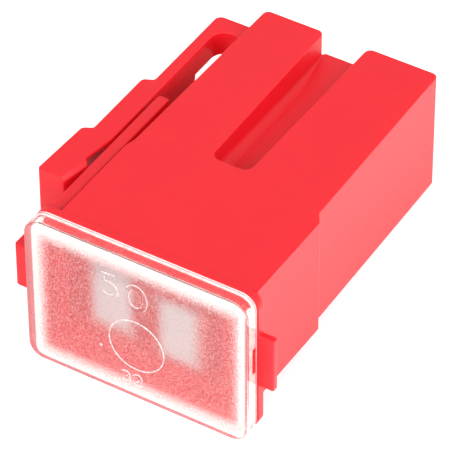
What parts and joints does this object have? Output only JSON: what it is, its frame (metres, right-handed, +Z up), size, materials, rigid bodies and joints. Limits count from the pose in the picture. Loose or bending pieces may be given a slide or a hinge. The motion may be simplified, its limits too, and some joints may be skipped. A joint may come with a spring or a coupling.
{
  "type": "cartridge fuse",
  "caption": "Female cartridge fuse: moulded housing with integral latch arm, clear clip-on cover, and a folded element with tin chip for push-on blade terminals.",
  "frame": {"origin": "bottom centre of the whole part's box, as it lies with the key groove up", "axes": "+Z up out of the face with the key groove, -Y out of the clear cover, +Y out of the terminal mouths, +X towards the side without the latch arm"},
  "size_m": [0.0236, 0.031, 0.0132],
  "materials": {
    "housing_plastic": "moulded red polyamide, satin",
    "cover_plastic": "clear polycarbonate, finely frosted inside its front panel",
    "element_metal": "tin-plated copper alloy strip, as rolled",
    "tin": "bare tin, dull"
  },
  "bodies": {
    "root": {"housing": "housing_plastic", "clear_cover": "cover_plastic", "fuse_element": "element_metal", "tin_chip": "tin"}
  },
  "joints": []
}
